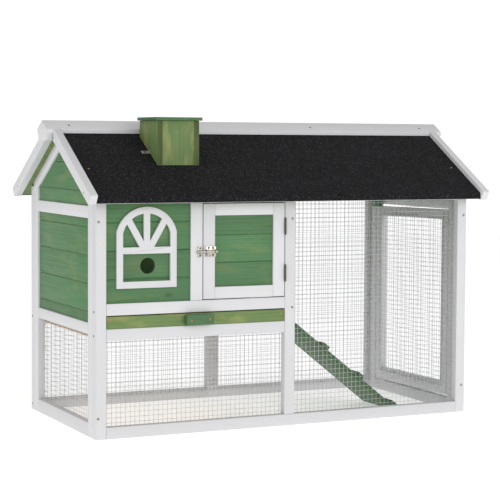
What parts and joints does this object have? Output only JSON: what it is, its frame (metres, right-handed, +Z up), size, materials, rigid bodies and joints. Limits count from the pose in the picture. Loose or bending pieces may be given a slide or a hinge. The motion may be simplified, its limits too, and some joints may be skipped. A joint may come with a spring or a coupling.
{
  "type": "rabbit hutch",
  "caption": "Wooden rabbit hutch with a boarded sleeping room over a wire run, a pitched felt roof with a false chimney, a hinged door, a mesh end door, a pull-out tray and a ramp.",
  "frame": {"origin": "on the ground under the middle of the hutch's bounding box", "axes": "+X along the front to the right, +Y from the front to the back, +Z up"},
  "size_m": [1.21, 0.652, 0.8205],
  "materials": {
    "white_paint": "white painted fir with raised grain and wear on the edges",
    "green_stain": "green stained tongue-and-groove fir, satin",
    "olive_stain": "thin olive green stain over yellow fir",
    "bare_wood": "bare planed fir",
    "roof_felt": "bitumen roofing felt with mineral grit",
    "galvanised_wire": "galvanised welded wire mesh",
    "plated_steel": "zinc plated steel, slightly tarnished"
  },
  "bodies": {
    "hutch": {"front_left_stile": "white_paint", "front_right_stile": "white_paint", "front_centre_stile": "white_paint", "front_door_post": "white_paint", "front_top_rail": "white_paint", "front_bottom_rail": "white_paint", "front_tray_rail": "white_paint", "front_sill_rail": "white_paint", "back_frame": "white_paint", "left_front_stile": "white_paint", "left_back_stile": "white_paint", "left_rafters": "white_paint", "left_bottom_rail": "white_paint", "left_mid_rail": "white_paint", "left_upper_rail": "white_paint", "right_front_stile": "white_paint", "right_back_stile": "white_paint", "right_rafters": "white_paint", "right_bottom_rail": "white_paint", "right_upper_rail": "white_paint", "window_trim": "white_paint", "left_front_bargeboard": "white_paint", "left_back_bargeboard": "white_paint", "right_front_bargeboard": "white_paint", "right_back_bargeboard": "white_paint", "ridge_cap": "white_paint", "front_wall_boards": "green_stain", "left_wall_boards": "green_stain", "back_wall_boards": "green_stain", "left_gable_boards": "green_stain", "right_gable_boards": "green_stain", "room_partition": "green_stain", "chimney_cap": "green_stain", "end_door_stop": "green_stain", "roof_front_deck": "olive_stain", "roof_back_deck": "olive_stain", "chimney_body": "olive_stain", "floor_cross_rail": "bare_wood", "tray_runner_left": "bare_wood", "tray_runner_right": "bare_wood", "roof_front_felt": "roof_felt", "roof_back_felt": "roof_felt", "front_run_mesh": "galvanised_wire", "front_lower_mesh": "galvanised_wire", "back_mesh": "galvanised_wire", "left_lower_mesh": "galvanised_wire", "bolt_keeper": "plated_steel"},
    "front_door": {"front_door_frame": "white_paint", "front_door_boards": "green_stain", "front_door_hinge_lower": "plated_steel", "front_door_hinge_upper": "plated_steel", "bolt_plate": "plated_steel"},
    "bolt": {"bolt_rod": "plated_steel"},
    "tray": {"tray_front": "olive_stain", "tray_pan": "bare_wood", "tray_handle": "green_stain"},
    "ramp": {"ramp": "green_stain"},
    "end_door": {"end_door_frame": "white_paint", "end_door_mesh": "galvanised_wire"},
    "turn_button": {"turn_button": "white_paint"}
  },
  "joints": [
    {"name": "front_door_hinge", "type": "hinge", "parent": "hutch", "child": "front_door", "pos_m": [-0.01825, -0.2688, 0.472], "axis": [0, 0, 1], "range_deg": [0, 150]},
    {"name": "bolt_slide", "type": "slide", "parent": "front_door", "child": "bolt", "axis": [1, 0, 0], "range_m": [0, 0.018]},
    {"name": "tray_slide", "type": "slide", "parent": "hutch", "child": "tray", "axis": [0, -1, 0], "range_m": [0, 0.38]},
    {"name": "ramp_hinge", "type": "hinge", "parent": "hutch", "child": "ramp", "pos_m": [0.0136, -0.081, 0.3042], "axis": [0, -1, 0], "range_deg": [0, 80]},
    {"name": "end_door_hinge", "type": "hinge", "parent": "hutch", "child": "end_door", "pos_m": [0.5535, -0.2035, 0.303], "axis": [0, 0, -1], "range_deg": [0, 120]},
    {"name": "turn_button_pivot", "type": "hinge", "parent": "hutch", "child": "turn_button", "pos_m": [0.5553, 0.212, 0.315], "axis": [1, 0, 0], "range_deg": [0, 90]}
  ]
}
